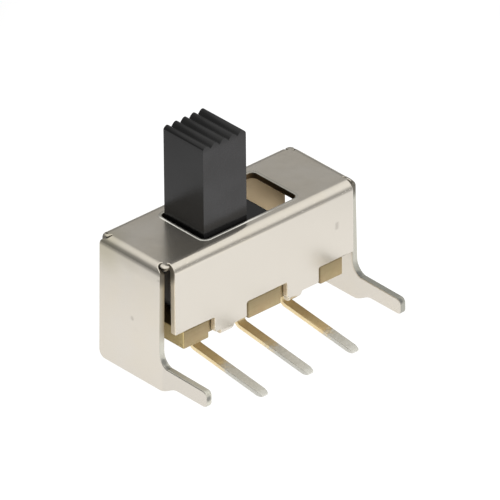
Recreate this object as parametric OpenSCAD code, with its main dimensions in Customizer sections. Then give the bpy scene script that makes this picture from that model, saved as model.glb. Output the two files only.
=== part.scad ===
// Right-angle miniature slide switch, one pole and two positions, for a
// 0.1 inch grid. All sizes are millimetres.
//
// Frame: the origin is where the middle terminal crosses the plane of the
// front face, which is the face that lies on the circuit board.
//   +X  along the row of terminals, the way the slider travels
//   -Y  the way the terminals and the two legs point, into the board
//   +Z  the way the knob points

/* [Cover] */
// Thickness of the plated steel sheet
sheet = 0.3; // [0.25:0.01:0.35]
// Length over the two end folds, at the top
cover_len = 10.96; // [10.8:0.02:11.4]
// Depth over the two long flanges
cover_w = 4.3; // [4.2:0.02:4.6]
// Height from the foot of the end flanges to the top
cover_h = 5.77; // [5.6:0.01:6.2]
// Outside radius of every fold
bend_r = 0.42; // [0.4:0.01:0.5]
// How far the end flanges lean outwards, in degrees
flare = 1.2; // [0:0.1:2]
// Width of the end flanges
end_w = 3.75; // [3.5:0.01:3.8]
// Radius of the rounded lower rear corner of the end flanges
end_corner_r = 0.35; // [0.2:0.05:0.6]
// Length of the long flanges
side_len = 9.97; // [9.8:0.01:10]
// How far the long flanges sit to +X of the middle of the cover
side_shift = 0.095; // [0:0.005:0.1]
// Height of the lower edge of the tabs that hold the base
tab_z = 1.72; // [1.66:0.01:1.8]
// Inner end of each tab, from the middle of the row of tabs
tab_from = 1.12; // [1:0.02:1.2]
// Outer end of each tab, from the middle of the row of tabs
tab_to = 2.92; // [2.7:0.02:3]
// How far the row of tabs sits to +X of the middle of the cover
tab_shift = 0.22; // [0:0.01:0.25]
// Middle of the staked claw under the left tab
claw_left = -2; // [-2.2:0.05:-1.9]
// Middle of the staked claw under the right tab
claw_right = 1.8; // [1.8:0.05:2.1]
// Width of the claws
claw_w = 0.7; // [0.4:0.05:0.7]

/* [Slot] */
// Length of the slot that the knob runs in
slot_len = 5.23; // [5.2:0.01:5.3]
// How far the slot sits to +X of the middle of the cover
slot_shift = 0.03; // [0:0.01:0.05]
// Width of the slot
slot_w = 2.8; // [2.6:0.05:2.9]
// Corner radius of the slot
slot_r = 0.25; // [0.1:0.05:0.3]

/* [Legs] */
// Reach of the legs past the front face
leg_reach = 2.65; // [2.4:0.05:3.5]
// Height of the underside of the legs above the foot
leg_z0 = 0.41; // [0.3:0.01:0.6]
// Height of the top of the legs above the foot
leg_z1 = 1.16; // [1:0.01:1.3]
// Radius of the corners at the tip of a leg
leg_tip_r = 0.22; // [0.1:0.01:0.3]
// Radius where the leg meets the flange above it
leg_root_r = 0.65; // [0.3:0.05:0.7]

/* [Terminals] */
// Spacing of the terminals
pitch = 2.54; // [2.54:0.01:2.54]
// Width of a terminal's tail
tail_w = 0.45; // [0.4:0.01:0.5]
// Thickness of the terminal strip
strip = 0.22; // [0.2:0.01:0.25]
// Reach of the tails past the front face
tail_reach = 2.87; // [2.6:0.01:3.5]
// Slope of the tails, in degrees below level
droop = 6.8; // [0:0.1:7]
// Height of a tail's middle above the foot, in the plane of the front face
tail_z = 0.25; // [0.2:0.01:0.35]
// Length of the contact pad on the base, along the row
pad_len = 1.7; // [1.4:0.05:1.8]
// Depth of the neck behind the front face
neck_y = 1.55; // [1.5:0.01:1.7]

/* [Base] */
// Thickness of the laminate
base_t = 0.8; // [0.7:0.05:0.8]
// Height of the underside of the base above the foot
base_z = 1.62; // [1.6:0.01:1.64]
// Length of the base
base_len = 8.9; // [8.6:0.05:9.4]
// Gap between a lug of the base and the tab to its +X
lug_gap = 0.34; // [0.05:0.01:0.4]

/* [Slider] */
// Length of the knob, along its travel
knob_len = 2.38; // [2.3:0.02:2.4]
// Width of the knob
knob_w = 2.44; // [2.2:0.02:2.5]
// Height of the knob's ridges above the top of the cover
knob_rise = 4.27; // [2:0.01:6]
// Travel from one detent to the other
travel = 2.5; // [2.4:0.02:2.54]
// Length of the carriage under the cover
carriage_len = 5.24; // [5.1:0.02:5.4]
// Width of the carriage
carriage_w = 3.44; // [3.3:0.02:3.5]
// Spacing of the five grip ridges on top of the knob
ridge_pitch = 0.492; // [0.48:0.002:0.5]
// Top of the first ridge, from the knob's left side
first_ridge = 0.18; // [0.16:0.01:0.2]
// Depth of the grooves between the ridges
groove_depth = 0.2; // [0.15:0.01:0.25]

/* [Hidden] */

$fn = 48;
eps = 0.02;

steel = [0.84, 0.82, 0.78];
board_tan = [0.71, 0.60, 0.42];
brass = [0.72, 0.60, 0.34];
black = [0.16, 0.15, 0.15];
bronze = [0.74, 0.50, 0.30];
wire = [0.62, 0.62, 0.62];

half_w = cover_w/2;                       // middle of the depth to either face
base_top = base_z + base_t;
roof = cover_h - sheet;                   // underside of the cover's top
pad_top = base_top + strip;
running_gap = 0.05;                       // carriage to cover
contact_gap = 0.03;                       // contact bumps to pads
contact_y = 0.2;                          // line of contact, behind mid-depth
contact_t = 0.14;
contact_w = 1.1;
contact_span = 4.2;
contact_rise = 0.6;
contact_z = pad_top + contact_gap + contact_t/2;
spring_wire_r = 0.08;
spring_r = 0.42;
spring_turns = 3.25;
bore_r = 0.6;
bore_roof = 4.45;
spring_z0 = contact_z + contact_rise + contact_t/2 + spring_wire_r + 0.01;
spring_z1 = bore_roof - spring_wire_r - 0.01;

// Everything below is drawn with X from the middle terminal, Y from the middle
// of the cover's depth and Z from the foot, and then moved to the row's origin.
module placed() translate([0, half_w, -tail_z]) children();

// An outline drawn in Y and Z, given a width along X
module across_x(from, to)
    translate([from, 0, 0]) rotate([90, 0, 90]) linear_extrude(to - from) children();

// An outline drawn in X and Z, given a depth along Y
module along_y(from, to)
    translate([0, to, 0]) rotate([90, 0, 0]) linear_extrude(to - from) children();

// ---------------------------------------------------------------- cover

// Quarter ring of sheet around a fold, from a0 to a1 degrees
module fold(a0, a1) {
    far = 2*bend_r;
    mid = (a0 + a1)/2;
    intersection() {
        difference() {
            circle(bend_r);
            circle(bend_r - sheet);
        }
        polygon([[0, 0], far*[cos(a0), sin(a0)], far*[cos(mid), sin(mid)],
                 far*[cos(a1), sin(a1)]]);
    }
}

// Section of an end flange: the fold, then the sheet leaning outwards
module end_section() {
    translate([cover_len/2 - bend_r, cover_h - bend_r]) {
        fold(flare, 90);
        rotate(flare) translate([bend_r - sheet, -cover_h])
            square([sheet, cover_h]);
    }
}

// The curve that joins the foot to the underside of a leg
function foot_step(n) = [for (i = [0:n]) let (s = i/n)
    [-end_w/2 - 0.04 - 1.05*s, leg_z0*(3*s*s - 2*s*s*s)]];

// Outline of an end flange and its leg, seen along the row
module end_outline() {
    tip = -half_w - leg_reach;
    root = -end_w/2;
    difference() {
        translate([root, 0]) square([end_w, cover_h + 1]);
        // rounded lower rear corner
        translate([end_w/2 - end_corner_r, 0]) difference() {
            translate([0, -1]) square([end_corner_r + 1, end_corner_r + 1]);
            translate([0, end_corner_r]) circle(end_corner_r);
        }
    }
    // leg with a rounded tip
    difference() {
        translate([tip, leg_z0]) square([root - tip + eps, leg_z1 - leg_z0]);
        for (top = [0, 1])
            translate([tip + leg_tip_r, top ? leg_z1 - leg_tip_r : leg_z0 + leg_tip_r])
                difference() {
                    translate([-leg_tip_r - 1, top ? 0 : -leg_tip_r - 1])
                        square([leg_tip_r + 1, leg_tip_r + 1]);
                    circle(leg_tip_r);
                }
    }
    // hollow corner above the leg
    difference() {
        translate([root - leg_root_r, leg_z1 - eps])
            square([leg_root_r + eps, leg_root_r + eps]);
        translate([root - leg_root_r, leg_z1 + leg_root_r]) circle(leg_root_r);
    }
    // easy step from the foot up to the underside of the leg
    polygon(concat([[root + 0.2, leg_z0 + 0.1], [root + 0.2, 0]], foot_step(10),
                   [[-end_w/2 - 1.09, leg_z0 + 0.1]]));
}

module end_flange() {
    intersection() {
        along_y(-half_w - leg_reach - 1, half_w) end_section();
        across_x(cover_len/2 - 1, cover_len/2 + 1) end_outline();
    }
}

// Section of a long flange: the fold, then the sheet straight down
module side_section() {
    translate([half_w - bend_r, cover_h - bend_r]) fold(0, 90);
    translate([half_w - sheet, tab_z]) square([sheet, cover_h - bend_r - tab_z]);
}

// Notches between the tabs, seen from the front
module side_notches() translate([tab_shift, 0]) {
    top = base_top + 0.02;
    r = 0.1;
    for (s = [-1, 1]) {
        translate([s > 0 ? tab_to : -tab_to - 3, 0]) square([3, top]);
    }
    translate([-tab_from, 0]) square([2*tab_from, top - r]);
    translate([-tab_from + r, 0]) square([2*tab_from - 2*r, top]);
    for (s = [-1, 1]) translate([s*(tab_from - r), top - r]) circle(r);
}

// Claw: the lower edge of a tab staked inwards, under the base
module claw_section() {
    translate([half_w - sheet, 0])
        polygon([[sheet, tab_z + 0.2], [sheet, base_z - 0.12], [sheet - 0.08, base_z - 0.2],
                 [-0.14, base_z - 0.2], [-0.22, base_z - 0.12], [-0.2, base_z],
                 [0, base_z], [0, tab_z + 0.2]]);
}

module side_flange() {
    difference() {
        across_x(side_shift - side_len/2, side_shift + side_len/2) side_section();
        along_y(0, half_w + 1) side_notches();
    }
}

// Rounded tip of the top between two folds, drawn down with them
module corner_tip() {
    translate([cover_len/2 - bend_r, half_w - bend_r, cover_h - bend_r]) {
        rotate_extrude(angle = 90) fold(48, 90);
        rotate([90, 0, 90]) translate([0, 0, -0.3]) linear_extrude(0.3) fold(48, 90);
    }
}

module slot_outline() translate([slot_shift, 0]) {
    for (x = [-1, 1]) for (y = [-1, 1])
        translate([x*(slot_len/2 - slot_r), y*(slot_w/2 - slot_r)]) circle(slot_r);
    square([slot_len, slot_w - 2*slot_r], center = true);
    square([slot_len - 2*slot_r, slot_w], center = true);
}

module cover_top() {
    translate([0, 0, roof]) linear_extrude(sheet) difference() {
        union() {
            square([cover_len - 2*bend_r, cover_w - 2*bend_r], center = true);
            // on to the end folds, which are wider than the flat
            for (s = [-1, 1])
                translate([s > 0 ? cover_len/2 - bend_r - 0.1 : -cover_len/2 + bend_r, -end_w/2])
                    square([0.1, end_w]);
        }
        slot_outline();
    }
}

module cover_frame() placed() color(steel) {
    cover_top();
    end_flange();
    mirror([1, 0, 0]) end_flange();
    // the blank is the same after half a turn, so the back is the front turned round
    for (turn = [0, 180]) rotate(turn) mirror([0, 1, 0]) {
        side_flange();
        // the claws sit to one side of the middle of each tab
        for (at = [claw_left, claw_right])
            across_x(at - claw_w/2, at + claw_w/2) claw_section();
    }
    for (x = [0, 1]) for (y = [0, 1])
        mirror([x, 0, 0]) mirror([0, y, 0]) corner_tip();
}

// ----------------------------------------------------------------- base

module base_outline() {
    inner = cover_w - 2*sheet - 0.04;
    square([base_len, inner], center = true);
    // lugs in the notches between the tabs, each with a gap on one side; the back is the front turned half round
    for (turn = [0, 180]) rotate(turn)
        for (lug = [[-base_len/2, tab_shift - tab_to - lug_gap],
                    [tab_shift - tab_from + 0.05, tab_shift + tab_from - lug_gap],
                    [tab_shift + tab_to + 0.05, base_len/2]])
            translate([lug[0], -cover_w/2]) square([lug[1] - lug[0], cover_w/2]);
}

module base_board() placed() color(board_tan)
    translate([0, 0, base_z]) linear_extrude(base_t) difference() {
        base_outline();
        // slots for the necks of the terminals
        for (i = [-1:1])
            translate([i*pitch, neck_y - half_w])
                square([tail_w + 0.04, strip + 0.04], center = true);
    }

// ------------------------------------------------------------ terminals

// Ring of strip around a bend, from a0 to a1 degrees
module strip_bend(r_in, a0, a1) {
    far = 3*(r_in + strip);
    mid = (a0 + a1)/2;
    intersection() {
        difference() {
            circle(r_in + strip);
            circle(r_in);
        }
        polygon([[0, 0], far*[cos(a0), sin(a0)], far*[cos(mid), sin(mid)],
                 far*[cos(a1), sin(a1)]]);
    }
}

// Side view of a terminal: pad, fold, neck, bend and sloping tail
module terminal_section() {
    ny = -half_w + neck_y;                  // middle of the neck
    r_top = 0.08;
    r_low = 0.22;
    // middle of the tail where its straight part begins
    bend_cy = ny - strip/2 - r_low;         // centre of the lower bend
    mid_r = r_low + strip/2;
    // height of the lower bend's centre, so that the tail's middle line passes
    // through the origin height at the front face
    bend_cz = tail_z + mid_r/cos(droop) + tan(droop)*(bend_cy + half_w);
    // fold at the top, from the neck to the pad
    translate([ny + strip/2 + r_top, base_top - r_top]) strip_bend(r_top, 90, 180);
    translate([ny + strip/2 + r_top - eps, base_top]) square([0.2, strip]);
    // neck
    translate([ny - strip/2, bend_cz]) square([strip, base_top - r_top - bend_cz]);
    // lower bend
    translate([bend_cy, bend_cz]) strip_bend(r_low, -90 + droop, 0);
    // tail, with its tip thinned on the upper and lower side
    tail_len = (tail_reach + half_w + bend_cy + mid_r*sin(droop))/cos(droop);
    translate([bend_cy, bend_cz]) rotate(180 + droop)
        translate([0, r_low]) polygon([[0, 0], [tail_len - 0.2, 0],
            [tail_len - 0.03, 0.05], [tail_len, 0.08], [tail_len, strip - 0.08],
            [tail_len - 0.03, strip - 0.05], [tail_len - 0.2, strip], [0, strip]]);
}

// Plan of a tail, narrowed at its tip
module tail_plan() {
    tip = -half_w - tail_reach - 0.05;
    polygon([[-tail_w/2, half_w], [-tail_w/2, tip + 0.2], [-tail_w/2 + 0.05, tip],
             [tail_w/2 - 0.05, tip], [tail_w/2, tip + 0.2], [tail_w/2, half_w]]);
}

module terminal(i) placed() color(brass) translate([i*pitch, 0, 0]) {
    ny = -half_w + neck_y;
    pad_y0 = ny + strip/2 + 0.08;
    pad_y1 = contact_y + 0.72;
    intersection() {
        across_x(-tail_w, tail_w) terminal_section();
        translate([0, 0, -2]) linear_extrude(8) tail_plan();
    }
    // contact pad on the base, with the dimple that the contact drops into
    difference() {
        translate([-pad_len/2, pad_y0, base_top]) cube([pad_len, pad_y1 - pad_y0, strip]);
        translate([0, pad_y1 + 1, pad_top + 0.3]) rotate([90, 0, 0])
            cylinder(r = 0.36, h = pad_y1 - pad_y0 + 2);
    }
}

module terminal_left() terminal(-1);
module terminal_middle() terminal(0);
module terminal_right() terminal(1);

// --------------------------------------------------------------- slider

// Drop of the knob's top below its ridges, x from the knob's left side: round
// ridges with sharp grooves between them
function ridge_drop(x) = groove_depth*(1 - abs(cos(180*(x - first_ridge)/ridge_pitch)));

module knob() {
    top = cover_h + knob_rise;
    step = ridge_pitch/8;
    along_y(-knob_w/2, knob_w/2) translate([-knob_len/2, 0])
        polygon([[knob_len, roof - 0.5], [0, roof - 0.5], [0, top - ridge_drop(0)],
            for (x = [first_ridge - 2*step : step : knob_len - 0.01]) [x, top - ridge_drop(x)],
            [knob_len, top - ridge_drop(knob_len)]]);
}

module slider() placed() color(black) translate([-travel/2, 0, 0]) {
    top = roof - running_gap;
    low = pad_top + 0.12;
    difference() {
        union() {
            knob();
            translate([-carriage_len/2, -carriage_w/2, low])
                cube([carriage_len, carriage_w, top - low]);
            // two rails that keep the carriage level on the base
            for (s = [-1, 1])
                translate([-carriage_len/2, s > 0 ? carriage_w/2 - 0.45 : -carriage_w/2,
                           base_top + 0.06])
                    cube([carriage_len, 0.45, low - base_top]);
        }
        // pocket for the contact, open below
        translate([-contact_span/2 - 0.12, contact_y - contact_w/2 - 0.05, low - 1])
            cube([contact_span + 0.24, contact_w + 0.1, contact_z + contact_rise + 0.2 - low + 1]);
        // socket for the spring
        translate([0, contact_y, low]) cylinder(r = bore_r, h = bore_roof - low);
    }
}

// -------------------------------------------------------------- contact

// The contact strip is a wave: up in the middle, where the spring presses,
// and down at the two places that touch the pads.
function wave(x) = contact_rise*(1 + cos(180*x/(pitch/2)))/2;
function wave_slope(x) = -contact_rise*sin(180*x/(pitch/2))*PI/pitch;
function wave_edge(side, n) = [for (i = [0:n])
    let (x = contact_span*(i/n - 0.5), m = wave_slope(x), q = sqrt(1 + m*m))
    [x - side*contact_t/2*m/q, wave(x) + side*contact_t/2/q]];
function backwards(v) = [for (i = [len(v) - 1:-1:0]) v[i]];

module moving_contact() placed() color(bronze)
    translate([-travel/2, contact_y, contact_z])
        along_y(-contact_w/2, contact_w/2)
            polygon(concat(wave_edge(-1, 40), backwards(wave_edge(1, 40))));

// --------------------------------------------------------------- spring

// Centre line of the coil: the end turns lie nearly flat
function coil_rise(s) = s < 0.15 ? 0.25*s : s > 0.85 ? 1 - 0.25*(1 - s)
    : 0.0375 + (s - 0.15)*0.925/0.7;
function coil_point(s) = let (a = 360*spring_turns*s)
    [spring_r*cos(a), spring_r*sin(a), spring_z0 + (spring_z1 - spring_z0)*coil_rise(s)];
function coil_ring(s, sides) = let (a = 360*spring_turns*s, c = coil_point(s))
    [for (k = [0:sides - 1]) let (b = 360*k/sides)
        c + spring_wire_r*[cos(b)*cos(a), cos(b)*sin(a), sin(b)]];

module contact_spring() placed() color(wire) translate([-travel/2, contact_y, 0]) {
    rings = 78;
    sides = 8;
    points = [for (i = [0:rings - 1]) each coil_ring(i/(rings - 1), sides)];
    skin = [for (i = [0:rings - 2]) for (k = [0:sides - 1])
        [i*sides + k, i*sides + (k + 1)%sides, (i + 1)*sides + (k + 1)%sides, (i + 1)*sides + k]];
    ends = [[for (k = [sides - 1:-1:0]) k], [for (k = [0:sides - 1]) (rings - 1)*sides + k]];
    polyhedron(points, concat(skin, ends), convexity = 10);
}

cover_frame();
base_board();
terminal_left();
terminal_middle();
terminal_right();
slider();
moving_contact();
contact_spring();
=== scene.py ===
import math

import bmesh
import bpy
from mathutils import Matrix, Vector


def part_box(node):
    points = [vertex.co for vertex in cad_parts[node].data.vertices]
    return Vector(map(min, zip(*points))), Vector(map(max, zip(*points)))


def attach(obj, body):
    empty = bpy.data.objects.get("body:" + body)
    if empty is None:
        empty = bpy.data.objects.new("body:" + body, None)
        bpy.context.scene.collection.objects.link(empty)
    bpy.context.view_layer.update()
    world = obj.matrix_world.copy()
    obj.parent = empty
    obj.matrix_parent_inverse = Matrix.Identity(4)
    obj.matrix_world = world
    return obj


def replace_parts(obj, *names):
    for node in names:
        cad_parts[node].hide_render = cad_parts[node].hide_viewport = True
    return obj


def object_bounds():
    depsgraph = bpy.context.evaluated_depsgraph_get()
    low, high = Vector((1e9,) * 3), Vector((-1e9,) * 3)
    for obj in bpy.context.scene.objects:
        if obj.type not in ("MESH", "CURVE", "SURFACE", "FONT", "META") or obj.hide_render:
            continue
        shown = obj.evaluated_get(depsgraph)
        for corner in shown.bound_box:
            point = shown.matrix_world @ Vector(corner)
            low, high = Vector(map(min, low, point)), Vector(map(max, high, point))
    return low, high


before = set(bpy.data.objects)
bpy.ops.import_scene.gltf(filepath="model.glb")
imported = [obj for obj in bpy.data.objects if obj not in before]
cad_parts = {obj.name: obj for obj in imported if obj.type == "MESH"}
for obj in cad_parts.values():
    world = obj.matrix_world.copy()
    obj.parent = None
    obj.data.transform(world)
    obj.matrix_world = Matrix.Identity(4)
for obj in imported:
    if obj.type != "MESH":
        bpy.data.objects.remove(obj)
CAD_BOX = [list(v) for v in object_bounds()]

# ------------------------------------------------------------------ sizes
# Pieces are drawn in millimetres, with X from the middle terminal, Y from the
# middle of the cover's depth and Z from the foot of the end flanges, and are
# then moved to the row's frame. The driving sizes come from the CAD nodes.
MM = 0.001
lo, hi = (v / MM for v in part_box("cover_frame"))
DEPTH = hi.y                     # front face is at 0 in the row frame
HALF = DEPTH / 2
FOOT = lo.z
H = hi.z - lo.z
HALF_FOOT_X = hi.x
LEG_TIP = lo.y - HALF            # y of the leg tips
blo, bhi = (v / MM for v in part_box("base_board"))
BASE_Z0, BASE_Z1 = blo.z - FOOT, bhi.z - FOOT
BASE_X = bhi.x
slo, shi = (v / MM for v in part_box("slider"))
CAR_X0, CAR_X1 = slo.x, shi.x
SL_X = (CAR_X0 + CAR_X1) / 2     # middle of the slider at rest
CAR_Y = shi.y - HALF
KNOB_TOP = shi.z - FOOT
RAIL_Z = slo.z - FOOT
tlo, thi = (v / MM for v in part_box("terminal_middle"))
TAIL_TIP = tlo.y - HALF
PAD_TOP = thi.z - FOOT
PAD_Y1 = thi.y - HALF
clo, chi = (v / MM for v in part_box("moving_contact"))
splo, sphi = (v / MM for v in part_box("contact_spring"))

SHEET = 0.3
R = 0.42                         # outer radius of a fold
LEAN = math.radians(1.2)         # end flanges lean outwards
PM = math.pi / 2 - LEAN
XC = 5.48 - R                    # where the end folds start
YC = HALF - R                    # where the long folds start
ZC = H - R
SIDE_X = {-1: 4.89, 1: 5.08}     # how far the long flanges reach to -X and +X
END = 1.875                      # half the width of the end flanges
LEG_Z0, LEG_Z1, LEG_ROOT = 0.41, 1.16, 0.65
TAB_Z = 1.72
TAB_MID, TAB_IN, TAB_OUT = 0.22, 1.12, 2.92
SLOT_MID, SLOT_HX, SLOT_HY, SLOT_R = 0.03, 2.615, 1.4, 0.25
NOTCH_Z = BASE_Z1 + 0.02
ROOF = H - SHEET
PITCH = 2.54


def to_row(v):
    return Vector((v[0], v[1] + HALF, v[2] + FOOT)) * MM


# ------------------------------------------------------------ mesh helpers
def arc(cx, cy, r, a0, a1, n):
    return [(cx + r * math.cos(math.radians(a0 + (a1 - a0) * i / n)),
             cy + r * math.sin(math.radians(a0 + (a1 - a0) * i / n))) for i in range(n + 1)]


def rounded(points, seg=5):
    """A closed outline with its corners rounded: points are (x, y, radius)."""
    out, n = [], len(points)
    for i, (x, y, r) in enumerate(points):
        p = Vector((x, y))
        a = Vector(points[i - 1][:2]) - p
        b = Vector(points[(i + 1) % n][:2]) - p
        if r <= 0:
            out.append((x, y))
            continue
        half = a.angle(b) / 2
        if half > math.radians(88):
            out.append((x, y))
            continue
        d = min(r / math.tan(half), 0.49 * a.length, 0.49 * b.length)
        r = d * math.tan(half)
        c = p + (a.normalized() + b.normalized()).normalized() * (r / math.sin(half))
        s, e = p + a.normalized() * d - c, p + b.normalized() * d - c
        t0, t1 = math.atan2(s.y, s.x), math.atan2(e.y, e.x)
        while t1 - t0 > math.pi:
            t1 -= 2 * math.pi
        while t1 - t0 < -math.pi:
            t1 += 2 * math.pi
        for k in range(seg + 1):
            t = t0 + (t1 - t0) * k / seg
            out.append((c.x + r * math.cos(t), c.y + r * math.sin(t)))
    return out


def plate(loops, thick, edge, res=1):
    """A flat plate with rounded edges, as a bmesh centred on z = 0. loops are closed outlines, holes among them."""
    cu = bpy.data.curves.new("tmp", "CURVE")
    cu.dimensions, cu.fill_mode = "2D", "BOTH"
    cu.extrude, cu.bevel_depth, cu.bevel_resolution, cu.offset = thick / 2 - edge, edge, res, -edge
    for loop in loops:
        sp = cu.splines.new("POLY")
        sp.points.add(len(loop) - 1)
        for q, (x, y) in zip(sp.points, loop):
            q.co = (x, y, 0, 1)
        sp.use_cyclic_u = True
    ob = bpy.data.objects.new("tmp", cu)
    bpy.context.scene.collection.objects.link(ob)
    dg = bpy.context.evaluated_depsgraph_get()
    me = bpy.data.meshes.new_from_object(ob.evaluated_get(dg))
    bm = bmesh.new()
    bm.from_mesh(me)
    bpy.data.objects.remove(ob)
    bpy.data.meshes.remove(me)
    bpy.data.curves.remove(cu)
    bmesh.ops.remove_doubles(bm, verts=bm.verts, dist=1e-5)
    bmesh.ops.recalc_face_normals(bm, faces=bm.faces)
    return bm


def cut(bm, co, no, keep=None):
    """Adds a line of vertices where a plane crosses the mesh, on the faces that keep() picks."""
    faces = [f for f in bm.faces if keep is None or keep(f.calc_center_bounds())]
    geom = set(faces)
    for f in faces:
        geom.update(f.edges)
        geom.update(f.verts)
    bmesh.ops.bisect_plane(bm, geom=list(geom), plane_co=co, plane_no=no, dist=1e-6)


def block(x0, x1, y0, y1, z0, z1, r=0.0, seg=3):
    bm = bmesh.new()
    bmesh.ops.create_cube(bm, size=1.0)
    for v in bm.verts:
        v.co = Vector((x0 + (v.co.x + .5) * (x1 - x0), y0 + (v.co.y + .5) * (y1 - y0), z0 + (v.co.z + .5) * (z1 - z0)))
    if r:
        bmesh.ops.bevel(bm, geom=list(bm.edges), offset=r, segments=seg, profile=0.5, affect="EDGES")
    return bm


def prism_y(outline, y0, y1):
    """An outline in X and Z, given a depth along Y."""
    bm = bmesh.new()
    a = [bm.verts.new((x, y0, z)) for x, z in outline]
    b = [bm.verts.new((x, y1, z)) for x, z in outline]
    bm.faces.new(a)
    bm.faces.new(b[::-1])
    for i in range(len(a)):
        j = (i + 1) % len(a)
        bm.faces.new((a[j], a[i], b[i], b[j]))
    bmesh.ops.recalc_face_normals(bm, faces=bm.faces)
    return bm


def sweep(rings):
    """A closed solid skinned over rings of points, each with the same count."""
    bm = bmesh.new()
    vs = [[bm.verts.new(p) for p in ring] for ring in rings]
    n = len(rings[0])
    for a, b in zip(vs, vs[1:]):
        for k in range(n):
            bm.faces.new((a[k], a[(k + 1) % n], b[(k + 1) % n], b[k]))
    bm.faces.new(vs[0][::-1])
    bm.faces.new(vs[-1])
    bmesh.ops.recalc_face_normals(bm, faces=bm.faces)
    return bm


def mesh_of(bm, name):
    me = bpy.data.meshes.new(name)
    bm.to_mesh(me)
    bm.free()
    return me


def add(bm, name, placed=True):
    me = mesh_of(bm, name)
    if placed:
        for v in me.vertices:
            v.co = to_row(v.co)
    ob = bpy.data.objects.new(name, me)
    bpy.context.scene.collection.objects.link(ob)
    return ob


def finish_mesh(ob, sharp=42):
    """Smooth shading that keeps flat faces flat."""
    me = ob.data
    for p in me.polygons:
        p.use_smooth = True
    me.set_sharp_from_angle(angle=math.radians(sharp))
    m = ob.modifiers.new("weighted", "WEIGHTED_NORMAL")
    m.keep_sharp, m.weight, m.mode = True, 50, "FACE_AREA"
    return ob


def boolean(base, tools):
    """base and tools are bmeshes in mm; tools are (operation, bmesh). Returns one mesh's bmesh."""
    ob = add(base, "bool_base", placed=False)
    for op, bm in tools:
        t = add(bm, "bool_tool", placed=False)
        m = ob.modifiers.new("b", "BOOLEAN")
        m.operation, m.solver, m.object = op, "EXACT", t
        dg = bpy.context.evaluated_depsgraph_get()
        me = bpy.data.meshes.new_from_object(ob.evaluated_get(dg))
        ob.modifiers.clear()
        ob.data = me
        bpy.data.objects.remove(t)
    out = bmesh.new()
    out.from_mesh(ob.data)
    bpy.data.objects.remove(ob)
    return out


def soften(bm, width, seg=2, angle=35):
    """Rounds the edges sharper than angle, on a mesh in mm."""
    bmesh.ops.remove_doubles(bm, verts=bm.verts, dist=1e-5)
    bmesh.ops.dissolve_limit(bm, angle_limit=math.radians(0.5), verts=bm.verts, edges=bm.edges, use_dissolve_boundaries=False)
    edges = [e for e in bm.edges if len(e.link_faces) == 2 and e.calc_face_angle(0) > math.radians(angle)]
    bmesh.ops.bevel(bm, geom=edges, offset=width, segments=seg, profile=0.5, affect="EDGES", clamp_overlap=True)
    return bm


# --------------------------------------------------------------- materials
def material(name):
    m = bpy.data.materials.new(name)
    m.use_nodes = True
    nt = m.node_tree
    nt.nodes.clear()
    out = nt.nodes.new("ShaderNodeOutputMaterial")
    bs = nt.nodes.new("ShaderNodeBsdfPrincipled")
    nt.links.new(bs.outputs[0], out.inputs[0])
    tc = nt.nodes.new("ShaderNodeTexCoord")
    mp = nt.nodes.new("ShaderNodeMapping")
    mp.inputs["Scale"].default_value = (1000, 1000, 1000)      # coordinates in millimetres
    nt.links.new(tc.outputs["Object"], mp.inputs["Vector"])
    return m, nt, bs, mp.outputs[0]


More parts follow.
